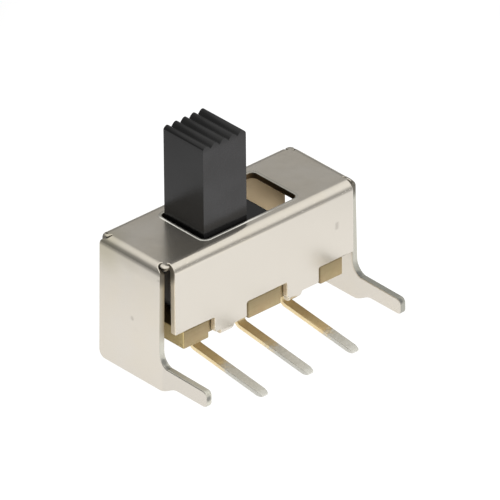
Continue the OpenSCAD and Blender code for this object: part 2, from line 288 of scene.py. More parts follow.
class N:
    """Short ways to make nodes in one tree."""

    def __init__(self, nt, co):
        self.nt, self.co = nt, co

    def put(self, node, i, v):
        if hasattr(v, "links") or isinstance(v, bpy.types.NodeSocket):
            self.nt.links.new(v, node.inputs[i])
        else:
            node.inputs[i].default_value = v

    def scaled(self, s, co=None):
        n = self.nt.nodes.new("ShaderNodeMapping")
        n.inputs["Scale"].default_value = s
        self.nt.links.new(co or self.co, n.inputs["Vector"])
        return n.outputs[0]

    def noise(self, scale, detail=3.0, rough=0.55, co=None, stretch=None, distortion=0.0):
        n = self.nt.nodes.new("ShaderNodeTexNoise")
        self.nt.links.new(self.scaled(stretch, co) if stretch else (co or self.co), n.inputs["Vector"])
        n.inputs["Scale"].default_value = scale
        n.inputs["Detail"].default_value = detail
        n.inputs["Roughness"].default_value = rough
        n.inputs["Distortion"].default_value = distortion
        return n.outputs["Fac"]

    def ramp(self, v, stops):
        n = self.nt.nodes.new("ShaderNodeValToRGB")
        el = n.color_ramp.elements
        while len(el) > 1:
            el.remove(el[-1])
        for i, (p, c) in enumerate(stops):
            e = el[0] if i == 0 else el.new(p)
            e.position = p
            e.color = tuple(c) + (1,) if len(c) == 3 else (c[0],) * 3 + (1,)
        self.nt.links.new(v, n.inputs[0])
        return n.outputs[0]

    def range(self, v, a, b, c=0.0, d=1.0, smooth=False):
        n = self.nt.nodes.new("ShaderNodeMapRange")
        if smooth:
            n.interpolation_type = "SMOOTHSTEP"
        self.put(n, 0, v)
        for i, x in enumerate((a, b, c, d)):
            n.inputs[i + 1].default_value = x
        return n.outputs[0]

    def math(self, op, a, b=0.0, c=0.0):
        n = self.nt.nodes.new("ShaderNodeMath")
        n.operation = op
        self.put(n, 0, a)
        self.put(n, 1, b)
        if op == "MULTIPLY_ADD":
            self.put(n, 2, c)
        return n.outputs[0]

    def mix(self, f, a, b):
        n = self.nt.nodes.new("ShaderNodeMix")
        n.data_type = "RGBA"
        self.put(n, 0, f)
        for i, v in ((6, a), (7, b)):
            if isinstance(v, (tuple, list)):
                n.inputs[i].default_value = tuple(v) + (1,) if len(v) == 3 else v
            else:
                self.nt.links.new(v, n.inputs[i])
        return n.outputs[2]

    def xyz(self, co=None):
        n = self.nt.nodes.new("ShaderNodeSeparateXYZ")
        self.nt.links.new(co or self.co, n.inputs[0])
        return n.outputs

    def near(self, p, r0, r1):
        """1 within r0 of the point p, in mm, and 0 past r1."""
        n = self.nt.nodes.new("ShaderNodeVectorMath")
        n.operation = "DISTANCE"
        self.nt.links.new(self.co, n.inputs[0])
        n.inputs[1].default_value = p
        return self.range(n.outputs["Value"], r0, r1, 1.0, 0.0, True)

    def bump(self, height, strength, dist, normal=None):
        n = self.nt.nodes.new("ShaderNodeBump")
        n.inputs["Strength"].default_value = strength
        n.inputs["Distance"].default_value = dist * MM
        self.nt.links.new(height, n.inputs["Height"])
        if normal is not None:
            self.nt.links.new(normal, n.inputs["Normal"])
        return n.outputs[0]


def nickel(name, base=(0.70, 0.655, 0.585), rough=0.23, edge=False, inside=False, painted_highlight=None):
    m, nt, bs, co = material(name)
    k = N(nt, co)
    big = k.noise(0.55, 3, 0.5)
    fine = k.noise(9.0, 4, 0.6)
    grain = k.noise(26.0, 3, 0.6)
    roll = k.noise(3.0, 4, 0.65, stretch=(0.25, 6.0, 1.0))
    dark = tuple(c * 0.93 for c in base)
    warm = (base[0] * 1.0, base[1] * 0.985, base[2] * 0.95)
    col = k.mix(k.range(big, 0.35, 0.65), warm, base)
    col = k.mix(k.range(fine, 0.35, 0.75, 0.0, 0.3), col, dark)
    if edge:
        # fitted to the photo: painted warm light, bounced off the board, on the cut faces of the long flanges
        x, y = k.xyz()[:2]
        painted_warm_light_mask = k.math("MULTIPLY", k.range(k.math("ABSOLUTE", x), 5.12, 5.18, 1.0, 0.0), k.range(y, -0.1, 0.0))
        col = k.mix(painted_warm_light_mask, col, (0.86, 0.765, 0.60))
        # painted shade: the cut faces at the right end, by its leg, are darkened
        right = k.math("MULTIPLY", k.range(x, 5.10, 5.25), k.range(y, 0.35, 0.15))
        col = k.mix(k.math("MULTIPLY", right, 0.6), col, (0.20, 0.20, 0.175))
        # fitted to the photo: painted warm shade on the left end's front edge, darkening it to brown towards the slit
        z = k.xyz()[2]
        slit = k.math("MULTIPLY", k.range(x, -5.56, -5.20, 0.30, 1.0), k.range(x, -5.10, -5.18))
        slit = k.math("MULTIPLY", slit, k.math("MULTIPLY", k.range(z, 1.9, 2.5), k.range(y, 0.6, 0.5)))
        col = k.mix(slit, col, (0.20, 0.155, 0.085))
        # fitted to the photo: painted shade in the crevices at the corners, and dark spots at the roots and tips of the
        # legs
        for cx in (-5.15, 5.15):
            for cy in (0.35, 3.95):
                col = k.mix(k.math("MULTIPLY", k.near((cx, cy, 5.2), 0.35, 0.8), 0.85), col, (0.07, 0.06, 0.045))
        for p, r in (((-5.46, 0.10, 1.12), 0.24), ((-5.46, -0.12, 0.96), 0.18), ((-5.46, -2.62, 0.60), 0.20),
                     ((5.33, -0.05, 1.02), 0.26), ((5.30, -2.60, 0.85), 0.22)):
            col = k.mix(k.math("MULTIPLY", k.near(p, r * 0.3, r), 0.75), col, (0.10, 0.10, 0.095))
    if inside:
        # fitted to the photo: painted warm reflection of the board on the inside of the long flanges
        x = k.xyz()[0]
        col = k.mix(k.range(k.math("ABSOLUTE", x), 5.15, 5.25, 1.0, 0.0), col, (0.90, 0.765, 0.56))
    if edge is False and not inside:
        # fitted to the photo: painted shade makes the front flange and the left end a little darker than the rest, and
        # darkens the left end along its upper edge and most by its upper rear corner
        x, y, z = k.xyz()[:3]
        col = k.mix(k.range(x, -5.15, -5.45, 0.0, 0.15), col, tuple(c * 0.90 for c in base))
        col = k.mix(k.math("MULTIPLY", k.range(y, 0.12, 0.02), k.range(z, 5.15, 5.05)), col, tuple(c * 0.93 for c in base))
        under = k.math("MULTIPLY", k.range(x, -5.35, -5.5), k.range(z, 4.6, 5.15))
        col = k.mix(k.math("MULTIPLY", under, 0.45), col, tuple(c * 0.70 for c in base))
        col = k.mix(k.math("MULTIPLY", k.near((-5.6, 3.7, 5.15), 0.2, 1.6), 0.75), col, (0.53, 0.49, 0.375))
        col = k.mix(k.math("MULTIPLY", k.near((-5.6, 2.2, 5.15), 0.1, 0.9), 0.35), col, (0.56, 0.52, 0.42))
    if edge is False and not inside:
        spots = k.noise(2.6, 2, 0.5)
        col = k.mix(k.range(spots, 0.70, 0.78, 0.0, 0.10, True), col, tuple(c * 0.72 for c in base))
        # two small handling marks, on the front flange and on the left end
        for p, r in (((4.14, 0.0, 3.90), 0.10), ((4.13, 0.0, 3.74), 0.10), ((-5.5, 1.95, 2.45), 0.10), ((-5.5, 0.35, 4.94), 0.06)):
            col = k.mix(k.math("MULTIPLY", k.near(p, r * 0.4, r * 1.6), 0.42), col, tuple(c * 0.5 for c in base))
    if painted_highlight:
        # fitted to the photo: painted highlight, the burr is brighter on the left and along the front
        x, y = k.xyz()[:2]
        front = k.math("MULTIPLY", k.range(y, 2.1, 1.6), k.range(x, 1.2, -0.4))
        left = k.math("MULTIPLY", k.range(x, -2.2, -2.5), k.range(y, 3.6, 3.2))
        col = k.mix(k.math("MAXIMUM", front, left), col, painted_highlight)
    nt.links.new(col, bs.inputs["Base Color"])
    if edge:
        # fitted to the photo: these cut faces reflect less where the warm light is painted
        nt.links.new(k.math("MULTIPLY_ADD", painted_warm_light_mask, -0.45, 0.75), bs.inputs["Metallic"])
    else:
        bs.inputs["Metallic"].default_value = 0.94
    r = k.math("MULTIPLY_ADD", fine, 0.03, rough - 0.015)
    r = k.math("MULTIPLY_ADD", k.range(big, 0.4, 0.6), 0.02, r)
    nt.links.new(r, bs.inputs["Roughness"])
    b = k.bump(grain, 0.20 if edge else 0.015, 0.008)
    b = k.bump(roll, 0.05, 0.010, b)
    b = k.bump(k.noise(1.1, 2, 0.5), 0.35, 0.02, b)
    nt.links.new(b, bs.inputs["Normal"])
    return m


def plastic(name):
    m, nt, bs, co = material(name)
    k = N(nt, co)
    big, fine = k.noise(0.9, 3, 0.5), k.noise(22.0, 3, 0.6)
    col = k.mix(k.range(big, 0.3, 0.7), (0.0125, 0.012, 0.012), (0.0165, 0.016, 0.0165))
    col = k.mix(k.range(fine, 0.55, 0.8, 0.0, 0.5), col, (0.024, 0.023, 0.023))
    # fitted to the photo: painted shade, darker at the foot of the knob and over the ridges
    x, _, z = k.xyz()[:3]
    col = k.mix(k.range(z, 6.25, 5.55, 0.0, 0.75, True), col, (0.003, 0.003, 0.003))
    col = k.mix(k.range(z, KNOB_TOP + FOOT - 0.32, KNOB_TOP + FOOT - 0.12, 0.0, 0.55), col, (0.004, 0.004, 0.004))
    nt.links.new(col, bs.inputs["Base Color"])
    nt.links.new(k.math("MULTIPLY_ADD", k.noise(6.0, 3, 0.5), 0.10, 0.16), bs.inputs["Roughness"])
    bs.inputs["IOR"].default_value = 1.39
    b = k.bump(fine, 0.22, 0.012)
    # faint drag lines along the draw of the mould
    b = k.bump(k.noise(5.0, 3, 0.6, stretch=(2.0, 2.0, 0.12)), 0.12, 0.02, b)
    nt.links.new(b, bs.inputs["Normal"])
    return m


def laminate(name):
    m, nt, bs, co = material(name)
    k = N(nt, co)
    big = k.noise(0.9, 3, 0.55)
    fibre = k.noise(5.0, 5, 0.7, stretch=(1.0, 1.0, 0.35))
    layers = k.noise(2.0, 3, 0.6, stretch=(0.35, 0.35, 14.0))
    col = k.mix(k.range(big, 0.3, 0.7), (0.235, 0.165, 0.083), (0.215, 0.175, 0.085))
    col = k.mix(k.range(fibre, 0.45, 0.8, 0.0, 0.7), col, (0.29, 0.235, 0.135))
    col = k.mix(k.range(layers, 0.52, 0.72, 0.0, 0.6), col, (0.15, 0.10, 0.042))
    # painted shade: the board darkens towards its top, under the cover's edge
    z = k.xyz()[2]
    col = k.mix(k.range(z, 1.45, 2.10, 0.0, 0.60), col, (0.085, 0.064, 0.030))
    # fitted to the photo: painted light and shade, the left end is paler than the punched front
    x, y = k.xyz()[:2]
    col = k.mix(k.range(y, 0.04, 0.0, 0.0, 0.25), col, (0.08, 0.06, 0.03))
    col = k.mix(k.range(x, -4.41, -4.447, 0.0, 0.8), col, (0.74, 0.59, 0.27))
    nt.links.new(col, bs.inputs["Base Color"])
    nt.links.new(k.range(fibre, 0.3, 0.8, 0.42, 0.62), bs.inputs["Roughness"])
    b = k.bump(layers, 0.5, 0.03)
    b = k.bump(k.noise(14.0, 4, 0.6), 0.35, 0.02, b)
    nt.links.new(b, bs.inputs["Normal"])
    return m


def brass(name, tin_from, seed):
    """Bare brass that turns to dip tin towards the tip. tin_from is the y, in the row frame and mm, where the tin begins."""
    m, nt, bs, co = material(name)
    k = N(nt, co)
    x, y, z = k.xyz()[:3]
    shifted = k.nt.nodes.new("ShaderNodeMapping")
    shifted.inputs["Location"].default_value = (seed * 3.7, seed * 1.3, 0)
    nt.links.new(co, shifted.inputs["Vector"])
    sc = shifted.outputs[0]
    wob = k.noise(3.2, 3, 0.6, co=sc)
    edge = k.math("ADD", y, k.range(wob, 0.2, 0.8, -0.45, 0.45))
    tin = k.range(edge, tin_from + 0.35, tin_from - 0.35, 0.0, 1.0, True)
    fine = k.noise(12.0, 4, 0.6, co=sc)
    big = k.noise(1.6, 3, 0.5, co=sc)
    bcol = k.mix(k.range(big, 0.3, 0.7), (0.82, 0.64, 0.36), (0.88, 0.74, 0.46))
    bcol = k.mix(k.range(fine, 0.5, 0.8, 0.0, 0.45), bcol, (0.62, 0.47, 0.24))
    tcol = k.mix(k.range(fine, 0.35, 0.7), (0.555, 0.545, 0.49), (0.66, 0.645, 0.595))
    nt.links.new(k.mix(tin, bcol, tcol), bs.inputs["Base Color"])
    nt.links.new(k.math("MULTIPLY_ADD", tin, -0.10, 0.92), bs.inputs["Metallic"])
    r = k.math("MULTIPLY_ADD", tin, 0.08, 0.36)
    nt.links.new(k.math("MULTIPLY_ADD", fine, 0.10, r), bs.inputs["Roughness"])
    b = k.bump(fine, 0.25, 0.012)
    b = k.bump(k.math("MULTIPLY", k.noise(2.2, 2, 0.5, co=sc), tin), 0.6, 0.03, b)
    nt.links.new(b, bs.inputs["Normal"])
    return m


def bronze(name):
    m, nt, bs, co = material(name)
    k = N(nt, co)
    fine, big = k.noise(14.0, 4, 0.6, stretch=(0.3, 3.0, 1.0)), k.noise(1.2, 2, 0.5)
    col = k.mix(k.range(big, 0.3, 0.7), (0.78, 0.50, 0.30), (0.70, 0.43, 0.24))
    nt.links.new(k.mix(k.range(fine, 0.5, 0.8, 0.0, 0.4), col, (0.50, 0.30, 0.16)), bs.inputs["Base Color"])
    bs.inputs["Metallic"].default_value = 1.0
    nt.links.new(k.range(fine, 0.2, 0.8, 0.22, 0.38), bs.inputs["Roughness"])
    nt.links.new(k.bump(fine, 0.2, 0.008), bs.inputs["Normal"])
    return m


def spring_wire(name):
    m, nt, bs, co = material(name)
    k = N(nt, co)
    fine = k.noise(20.0, 3, 0.6)
    nt.links.new(k.mix(k.range(fine, 0.3, 0.7), (0.50, 0.50, 0.50), (0.62, 0.61, 0.59)), bs.inputs["Base Color"])
    bs.inputs["Metallic"].default_value = 1.0
    nt.links.new(k.range(fine, 0.3, 0.7, 0.22, 0.34), bs.inputs["Roughness"])
    nt.links.new(k.bump(fine, 0.15, 0.006), bs.inputs["Normal"])
    return m


NICKEL = nickel("nickel_plate")
NICKEL_IN = nickel("nickel_plate_inside", rough=0.32, inside=True)
NICKEL_EDGE = nickel("nickel_sheared_edge", base=(0.52, 0.51, 0.455), rough=0.42, edge=True)
NICKEL_RIM = nickel("nickel_punched_rim", base=(0.60, 0.575, 0.52), rough=0.26, edge=None, painted_highlight=(0.84, 0.82, 0.76))
# painted warm shade: the slot's cut walls are given a dark brown base colour
NICKEL_SLOT = nickel("nickel_slot_wall", base=(0.22, 0.155, 0.085), rough=0.45, edge=None)
BLACK = plastic("black_moulding")
TAN = laminate("paper_laminate")
BRONZE = bronze("contact_bronze")
WIRE = spring_wire("spring_wire")


# ------------------------------------------------------------------- cover
# The cover is made as the real one is: a flat blank with rounded sheared
# edges, and then folded. Blank coordinates run along the outer surface.
def xb(z):
    """Blank x of the end flange at height z."""
    return XC + R * PM + (ZC + R * math.cos(PM) - z) / math.sin(PM)


def yb(z):
    """Blank y of a long flange at height z."""
    return YC + R * math.pi / 2 + ZC - z


def ease(a, b, x):
    t = min(max((x - a) / (b - a), 0.0), 1.0)
    return t * t * (3 - 2 * t)


CLAW_R = 0.26
CLAW_D = ZC - (BASE_Z0 - 0.2 + CLAW_R)       # length down the flange where a claw starts to curl
CLAWS = (-2.0, 1.8)
CLAW_W = 0.7
NOSE = 0.24                                  # blank radius of the rounded nose between two folds


def fold(p):
    """Blank point, with z from 0 on the outer surface down to minus the sheet, to its place on the folded cover."""
    w = -p.z
    sx, ax = (1 if p.x >= 0 else -1), abs(p.x)
    sy, ay = (1 if p.y >= 0 else -1), abs(p.y)
    ex, ey = max(0.0, ax - XC), max(0.0, ay - YC)

    def end():
        a, d = min(ex / R, PM), max(0.0, ex - R * PM)
        return Vector((min(ax, XC) + (R - w) * math.sin(a) + d * math.cos(PM), ay, ZC + (R - w) * math.cos(a) - d * math.sin(PM)))

    def long():
        a, d = min(ey / R, math.pi / 2), max(0.0, ey - R * math.pi / 2)
        if d > CLAW_D:
            c, rest = min((d - CLAW_D) / CLAW_R, math.pi / 2), max(0.0, d - CLAW_D - CLAW_R * math.pi / 2)
            q = CLAW_R - w * 0.6
            return Vector((ax, HALF - CLAW_R + q * math.cos(c) - rest, ZC - CLAW_D - q * math.sin(c)))
        return Vector((ax, min(ay, YC) + (R - w) * math.sin(a), ZC + (R - w) * math.cos(a) - d))

    if ex == 0.0 or (ex < 0.1 and ey > 0.42):
        v = long()
    elif ey == 0.0 or ex > 0.42:
        v = end()
    else:
        rho = math.hypot(ex, ey)
        a = min(rho / R, math.pi / 2)
        v = Vector((XC + (R - w) * math.sin(a) * ex / rho, YC + (R - w) * math.sin(a) * ey / rho, ZC + (R - w) * math.cos(a)))
        v = v + ease(0.26, 0.42, ex) * (end() - v) + ease(0.26, 0.42, ey) * (long() - v)
    return Vector((sx * v.x, sy * v.y, v.z))


def cover_blank():
    """Outline of the blank, anticlockwise, and the slot."""
    q = []

    def end(sx, up):
        """The edge of one end flange. up is True where it runs from -Y to +Y."""
        e = []
        # front edge, hollow corner, leg, foot step, foot, rear corner, rear edge
        e += [(xb(z), -END) for z in (4.9, 2.2)]
        r, zt = LEG_ROOT, LEG_Z1
        e += [(xb(zt + r - r * math.sin(math.radians(t))), -END - r * (1 - math.cos(math.radians(t)))) for t in range(0, 91, 12)][:-1]
        tip, t_r = LEG_TIP, 0.22
        e += [(xb(zt - t_r + t_r * math.cos(math.radians(t))), tip + t_r - t_r * math.sin(math.radians(t))) for t in range(0, 91, 18)]
        e += [(xb(LEG_Z0 + t_r - t_r * math.sin(math.radians(t))), tip + t_r - t_r * math.cos(math.radians(t))) for t in range(0, 91, 18)]
        for i in range(10, -1, -1):
            k = i / 10
            e.append((xb(LEG_Z0 * (3 * k * k - 2 * k ** 3)), -END - 0.04 - 1.05 * k))
        e += [(xb(0.35 - 0.35 * math.cos(math.radians(t))), END - 0.35 + 0.35 * math.sin(math.radians(t))) for t in range(0, 91, 15)]
        e += [(xb(z), END) for z in (2.2, 4.9)]
        e = [(sx * x, y) for x, y in e]
        return e if up else e[::-1]

    def nose(sx, sy):
        """The rounded nose at a corner of the top, from the end flange to the long flange, with a nick on each side of it."""
        xs = SIDE_X[-sx * sy]          # the back flange is the front one turned half round
        # down the end flange's corner, along a narrow slit beside the nose, round the nose, and a second slit
        n = [(XC + 0.62, END), (XC + 0.50, END - 0.01), (XC + 0.42, END - 0.05), (XC + 0.36, END - 0.12), (XC + 0.31, END - 0.21)]
        n += [(XC + 0.25, 1.58), (XC + 0.17, 1.53), (XC + 0.08, 1.51), (XC + 0.03, 1.51), (XC + 0.005, 1.535)]
        n += [(XC + 0.03, 1.562), (XC + 0.09, 1.57), (XC + 0.16, 1.585), (XC + 0.205, 1.62), (XC + 0.232, 1.68)]
        n += arc(XC, YC, NOSE, 4.0, math.degrees(math.acos((xs + 0.06 - XC) / NOSE)), 9)
        n += [(xs + 0.055, YC + 0.12), (xs + 0.055, YC + 0.05), (xs + 0.03, YC + 0.02), (xs, YC + 0.05), (xs, YC + 0.16), (xs, YC + 0.36), (xs, 2.3)]
        return [(sx * x, sy * y) for x, y in n]

    def side(sy):
        """The lower edge of a long flange, from +X to -X at the back and from -X to +X at the front."""
        m, x1, x0 = TAB_MID, SIDE_X[1], -SIDE_X[-1]
        pts = [(x1, NOTCH_Z, 0.06), (m + TAB_OUT, NOTCH_Z, 0.08), (m + TAB_OUT, TAB_Z, 0.10)]
        pts += claw(CLAWS[1])
        pts += [(m + TAB_IN, TAB_Z, 0.06), (m + TAB_IN, NOTCH_Z, 0.10), (m - TAB_IN, NOTCH_Z, 0.10), (m - TAB_IN, TAB_Z, 0.10)]
        pts += claw(CLAWS[0])
        pts += [(m - TAB_OUT, TAB_Z, 0.08), (m - TAB_OUT, NOTCH_Z, 0.08), (x0, NOTCH_Z, 0.06)]
        # rounding needs a closed outline, so the two ends are carried up the flange's ends
        ring = [(x1, 3.6, 0)] + pts + [(x0, 3.6, 0)]
        out = rounded([(x, yb(z), rr) for x, z, rr in ring], 4)
        return [(-sy * x, sy * y) for x, y in out][::-1]

    def claw(c):
        """The tongue under a tab, before it is curled inwards. Heights below the tab are lengths along the sheet."""
        end_z = ZC - CLAW_D - CLAW_R * math.pi / 2 - 0.2
        a, b = c + CLAW_W / 2, c - CLAW_W / 2
        return [(a + 0.05, TAB_Z, 0.05), (a, TAB_Z - 0.07, 0.04), (a - 0.05, end_z, 0.10), (b + 0.05, end_z, 0.10), (b, TAB_Z - 0.07, 0.04), (b - 0.05, TAB_Z, 0.05)]

    q += nose(1, -1)[::-1]
    q += end(1, True)
    q += nose(1, 1)
    q += side(1)
    q += nose(-1, 1)[::-1]
    q += end(-1, False)
    q += nose(-1, -1)
    q += side(-1)
    return q, slot_loop(0)


def slot_loop(grow, seg=6, parts=1):
    """The slot's outline, grown outwards, with each straight side in a number of parts."""
    m, hx, hy, r = SLOT_MID, SLOT_HX + grow, SLOT_HY + grow, SLOT_R + grow
    q = rounded([(m + hx, -hy, r), (m + hx, hy, r), (m - hx, hy, r), (m - hx, -hy, r)], seg)
    if parts == 1:
        return q
    out = []
    for (x0, y0), (x1, y1) in zip(q, q[1:] + q[:1]):
        n = parts if math.hypot(x1 - x0, y1 - y0) > 1.0 else 1
        out += [(x0 + (x1 - x0) * i / n, y0 + (y1 - y0) * i / n) for i in range(n)]
    return out


def slot_burr():
    """The thin raised rim that the punch leaves round the slot, as a mesh in mm."""
    def strength(x, y):
        if y > 0:
            return 0.15 + 0.85 * ease(-1.9, -2.5, x) * ease(1.5, 1.1, y)
        return 0.15 + 0.85 * ease(1.4, -0.4, x)

    bm = bmesh.new()
    rows = []
    for g, h in ((0.0, -0.04), (0.0, 0.0), (0.02, 0.018), (0.05, 0.026), (0.08, 0.026), (0.11, 0.016), (0.14, -0.002), (0.15, -0.02)):
        rows.append([bm.verts.new((x, y, H + (h - 0.004) * strength(x, y) if h > 0 else H + h)) for x, y in slot_loop(g, 6, 16)])
    n = len(rows[0])
    for a, b in zip(rows, rows[1:] + rows[:1]):
        for k in range(n):
            bm.faces.new((a[k], a[(k + 1) % n], b[(k + 1) % n], b[k]))
    bmesh.ops.recalc_face_normals(bm, faces=bm.faces)
    return bm


def make_cover():
    outline, slot = cover_blank()
    bm = plate([outline, slot], SHEET, 0.05, 1)
    for v in bm.verts:
        v.co.z -= SHEET / 2
    n = 10
    for s in (-1, 1):
        steps = [-0.04 / R] + [math.pi / 2 * k / n for k in range(n + 1)] + [math.pi / 2 + 0.04 / R]
        for a in steps:
            cut(bm, (0, s * (YC + R * a), 0), (0, 1, 0))
            cut(bm, (s * (XC + R * a * PM / (math.pi / 2)), 0, 0), (1, 0, 0))
        for d in (0.03, 0.10, 0.16, 0.22, 0.28, 0.31):
            cut(bm, (s * (XC + d), 0, 0), (1, 0, 0), lambda c: abs(c.x) > XC - 0.3 and YC - 0.3 < abs(c.y) < 2.3)
            cut(bm, (0, YC + d, 0), (0, 1, 0), lambda c: abs(c.x) > XC - 0.3 and YC - 0.3 < abs(c.y) < 2.3)
            cut(bm, (0, -YC - d, 0), (0, 1, 0), lambda c: abs(c.x) > XC - 0.3 and YC - 0.3 < abs(c.y) < 2.3)
        for x in (SIDE_X[-1] + 0.02, SIDE_X[-1] + 0.06, SIDE_X[1] + 0.02, SIDE_X[1] + 0.06):
            cut(bm, (s * x, 0, 0), (1, 0, 0), lambda c: abs(c.x) > 4.8 and YC - 0.1 < abs(c.y) < 2.3)
        for k in range(7):
            y = YC + R * math.pi / 2 + CLAW_D + CLAW_R * math.pi / 2 * k / 6
            cut(bm, (0, s * y, 0), (0, 1, 0), lambda c: abs(c.x) < XC)
    # the flat faces are broken up, so that no thin sliver crosses them
    for k in range(-11, 12):
        cut(bm, (k + 0.013, 0, 0), (1, 0, 0))
    for k in range(-8, 9):
        cut(bm, (0, 0.9 * k + 0.017, 0), (0, 1, 0))
    # outer faces 0, inner faces 1, sheared edges 2
    for f in bm.faces:
        nz = f.normal.z
        c = f.calc_center_median()
        wall = abs(c.x - SLOT_MID) < SLOT_HX + 0.06 and abs(c.y) < SLOT_HY + 0.06
        f.material_index = 0 if nz > 0.9 else 1 if nz < -0.9 else 4 if wall else 2
    for v in bm.verts:
        v.co = fold(v.co)
    me = mesh_of(bm, "cover")
    rim = mesh_of(slot_burr(), "rim")
    for p in rim.polygons:
        p.material_index = 3
    bm = bmesh.new()
    bm.from_mesh(me)
    bm.from_mesh(rim)
    ob = add(bm, "cover_sheet")
    for m in (NICKEL, NICKEL_IN, NICKEL_EDGE, NICKEL_RIM, NICKEL_SLOT):
        ob.data.materials.append(m)
    finish_mesh(ob, 20)
    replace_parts(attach(ob, "housing"), "cover_frame")
    return ob


cover = make_cover()


# -------------------------------------------------------------------- base
def make_base():
    inner = HALF - SHEET - 0.02
    o = []
    m, gap = TAB_MID, 0.34
    a, b, c, d = m + TAB_OUT + 0.05, m + TAB_IN - gap, m - TAB_IN + 0.05, m - TAB_OUT - gap
    lug = [(BASE_X, 1), (a, 1), (a, 0), (b, 0), (b, 1), (c, 1), (c, 0), (d, 0), (d, 1), (-BASE_X, 1)]
    for x, out in lug[::-1]:
        o.append((-x, HALF if out else inner, 0.07))
    for x, out in lug[::-1]:
        o.append((x, -HALF if out else -inner, 0.07))
    loops = [rounded(o, 3)]
    ny = -HALF + 1.55
    for i in (-1, 0, 1):
        w, t = 0.245, 0.13
        loops.append(rounded([(i * PITCH - w, ny - t, 0.03), (i * PITCH + w, ny - t, 0.03), (i * PITCH + w, ny + t, 0.03), (i * PITCH - w, ny + t, 0.03)], 2))
    bm = plate(loops, BASE_Z1 - BASE_Z0, 0.03, 1)
    for v in bm.verts:
        v.co.z += (BASE_Z0 + BASE_Z1) / 2
    ob = add(bm, "base_laminate")
    ob.data.materials.append(TAN)
    finish_mesh(ob)
    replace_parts(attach(ob, "housing"), "base_board")
    return ob


base = make_base()


# --------------------------------------------------------------- terminals
STRIP, TAIL_W, PAD_W = 0.22, 0.45, 1.7
DROOP = math.radians(6.8)


def terminal_path():
    """(y, z, angle, half width, half thickness) along the middle of the strip, from the tip of the tail to the end of the pad. The angle is the strip's direction in the YZ plane."""
    ny = -HALF + 1.55
    r_low, r_top = 0.22 + STRIP / 2, 0.08 + STRIP / 2
    cy = ny - r_low
    cz = -FOOT + r_low / math.cos(DROOP) + math.tan(DROOP) * (cy + HALF)
    by, bz = cy + r_low * math.sin(DROOP), cz - r_low * math.cos(DROOP)
    d = (math.cos(DROOP), math.sin(DROOP))
    length = (by - TAIL_TIP) / d[0]
    out = []
    hw, ht = TAIL_W / 2, STRIP / 2
    for s, fw, ft in ((0, 0.085, 0.085), (0.012, 0.062, 0.062), (0.035, 0.048, 0.048), (0.10, 0.028, 0.03), (0.20, 0.008, 0.01), (0.28, 0, 0)):
        out.append((TAIL_TIP + s * d[0], bz - (length - s) * d[1], DROOP, hw - fw, ht - ft))
    for i in range(1, 9):
        s = 0.28 + (length - 0.28) * i / 8
        out.append((TAIL_TIP + s * d[0], bz - (length - s) * d[1], DROOP, hw, ht))
    for i in range(1, 9):
        a = DROOP + (math.pi / 2 - DROOP) * i / 8
        out.append((cy + r_low * math.sin(a), cz - r_low * math.cos(a), a, hw, ht))
    top = BASE_Z1 - 0.08
    for i in range(1, 4):
        out.append((ny, cz + (top - cz) * i / 3, math.pi / 2, hw, ht))
    ty = ny + r_top
    for i in range(1, 7):
        a = math.pi / 2 - math.pi / 2 * i / 6
        out.append((ty - r_top * math.sin(a), top + r_top * math.cos(a), a, hw, ht))
    z = BASE_Z1 + STRIP / 2
    y0 = ty
    for y, w in ((0.0, 0.26), (0.02, 0.45), (0.035, 0.74), (0.06, 0.80), (0.10, 0.84), (0.16, PAD_W / 2)):
        out.append((y0 + 0.002 + y, z, 0.0, w, ht))
    end = PAD_Y1
    for i in range(1, 5):
        out.append((y0 + 0.16 + (end - 0.1 - y0 - 0.16) * i / 4, z, 0.0, PAD_W / 2, ht))
    out.append((end - 0.04, z, 0.0, PAD_W / 2 - 0.015, ht))
    out.append((end - 0.01, z, 0.0, PAD_W / 2 - 0.045, ht - 0.02))
    out.append((end, z, 0.0, PAD_W / 2 - 0.08, ht - 0.05))
    return out


def strip_ring(hw, ht, r=0.035, seg=3, top=13):
    """Outline of a strip across its length: x across it, y through it. Its upper side has points for the dimple."""
    r = min(r, hw * 0.6, ht * 0.6)
    pts = []
    for i in range(top):
        pts.append((hw - r - 2 * (hw - r) * i / (top - 1), ht))
    for cx, cy, a0 in ((-hw + r, ht - r, 90), (-hw + r, -ht + r, 180), (hw - r, -ht + r, 270), (hw - r, ht - r, 0)):
        a = arc(cx, cy, r, a0, a0 + 90, seg)
        pts += a[1:] if a0 == 90 else a[:-1] if a0 == 0 else a
    return pts


def make_terminal(name, i, tin_from):
    rings = []
    for y, z, a, hw, ht in terminal_path():
        n = (-math.sin(a), math.cos(a))
        ring = []
        for u, v in strip_ring(hw, ht):
            if a == 0.0 and v > 0 and abs(u) < 0.3 and hw > 0.7:
                # the dimple across the pad, where the contact's bump drops in
                v -= max(0.0, math.sqrt(0.36 ** 2 - u * u) - 0.3)
            ring.append((i * PITCH + u, y + n[0] * v, z + n[1] * v))
        rings.append(ring)
    ob = add(sweep(rings), name)
    ob.data.materials.append(brass("brass_" + name, tin_from, i + 2))
    finish_mesh(ob)
    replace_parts(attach(ob, "housing"), {-1: "terminal_left", 0: "terminal_middle", 1: "terminal_right"}[i])
    return ob


make_terminal("terminal_strip_left", -1, -0.45)
make_terminal("terminal_strip_middle", 0, -0.5)
make_terminal("terminal_strip_right", 1, -1.25)


